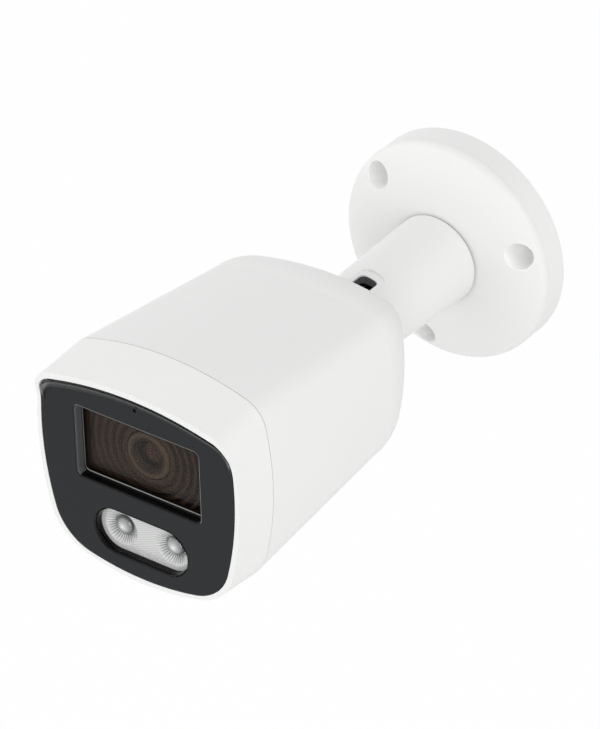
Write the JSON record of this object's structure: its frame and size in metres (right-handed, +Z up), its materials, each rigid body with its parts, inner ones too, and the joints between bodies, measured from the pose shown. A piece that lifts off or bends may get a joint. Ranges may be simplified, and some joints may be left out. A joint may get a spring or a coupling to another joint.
{
  "type": "bullet security camera",
  "caption": "Compact bullet security camera on a jointed arm with a round screw-on base, a black front panel, a recessed lens window and a pill-shaped lamp window.",
  "frame": {"origin": "centre of the round base in the wall plane", "axes": "+Y points into the wall along the mounting axis, the camera looks along -Y, +Z is up"},
  "size_m": [0.0632, 0.1417, 0.0655],
  "materials": {
    "white_case": "satin moulded white plastic",
    "black_panel": "fine matt charcoal plastic",
    "dark_plastic": "matt black plastic",
    "grey_plastic": "matt dark grey plastic",
    "tinted_glass": "polished brown-tinted glass",
    "clear_glass": "coated lens glass",
    "clear_plastic": "clear moulded plastic",
    "black_rubber": "soft black rubber",
    "grey_foam": "closed foam",
    "bright_steel": "plated steel",
    "dark_steel": "black plated steel",
    "copper": "enamelled copper wire",
    "aluminium": "cast aluminium",
    "green_board": "solder resist",
    "white_board": "white solder resist",
    "black_chip": "moulded chip packages",
    "cream_plastic": "cream connector plastic",
    "lamp_yellow": "lamp package",
    "red_filter": "infrared filter glass"
  },
  "bodies": {
    "wall_mount": {"wall_base": "white_case", "base_gasket": "grey_foam", "pan_washer": "dark_plastic"},
    "arm_body": {"arm": "white_case", "pan_ring": "grey_plastic", "pan_screws": "bright_steel", "tilt_pin": "bright_steel", "tilt_washers": "dark_plastic", "brake_shoe": "black_rubber", "tilt_lock_screw": "dark_steel"},
    "knuckle_body": {"tilt_knuckle": "grey_plastic", "rear_seal": "black_rubber", "rear_clip": "bright_steel", "cable_gland": "black_rubber"},
    "carriage_body": {"filter_carriage": "dark_plastic", "blocking_filter": "red_filter", "clear_filter": "clear_glass"},
    "button_body": {"reset_button": "black_chip"},
    "camera_body": {"main_housing": "white_case", "front_cover": "white_case", "cover_seal": "black_rubber", "cover_screws": "bright_steel", "front_panel": "black_panel", "window_glass": "tinted_glass", "window_gasket": "black_rubber", "lamp_optic": "clear_plastic", "optic_gasket": "grey_foam", "lamp_board": "white_board", "lamps": "lamp_yellow", "microphone_membrane": "dark_plastic", "microphone": "bright_steel", "light_trap": "dark_plastic", "lens_barrel": "dark_plastic", "lens_front_glass": "clear_glass", "lens_rear_glass": "clear_glass", "lens_lock_ring": "grey_plastic", "lens_holder": "dark_plastic", "filter_coil": "copper", "image_sensor": "black_chip", "sensor_glass": "clear_glass", "holder_screws": "dark_steel", "sensor_board": "green_board", "main_board": "green_board", "chips": "black_chip", "connectors": "cream_plastic", "card_socket": "bright_steel", "reset_switch": "bright_steel", "board_screws": "bright_steel", "chassis": "aluminium"}
  },
  "joints": [
    {"name": "pan", "type": "hinge", "parent": "wall_mount", "child": "arm_body", "pos_m": [0, -0.013, 0], "axis": [0, 1, 0], "range_deg": [-180, 180]},
    {"name": "tilt", "type": "hinge", "parent": "arm_body", "child": "knuckle_body", "pos_m": [0, -0.0435, 0], "axis": [-0.9823, 0, 0.1874], "range_deg": [0, 90]},
    {"name": "roll", "type": "hinge", "parent": "knuckle_body", "child": "camera_body", "pos_m": [0, -0.0567, 0], "axis": [0, 1, 0], "range_deg": [-180, 180]},
    {"name": "filter_shift", "type": "slide", "parent": "camera_body", "child": "carriage_body", "axis": [-1, 0, 0], "range_m": [0, 0.007]},
    {"name": "reset_press", "type": "slide", "parent": "camera_body", "child": "button_body", "axis": [0, 0, -1], "range_m": [0, 0.00025]}
  ]
}
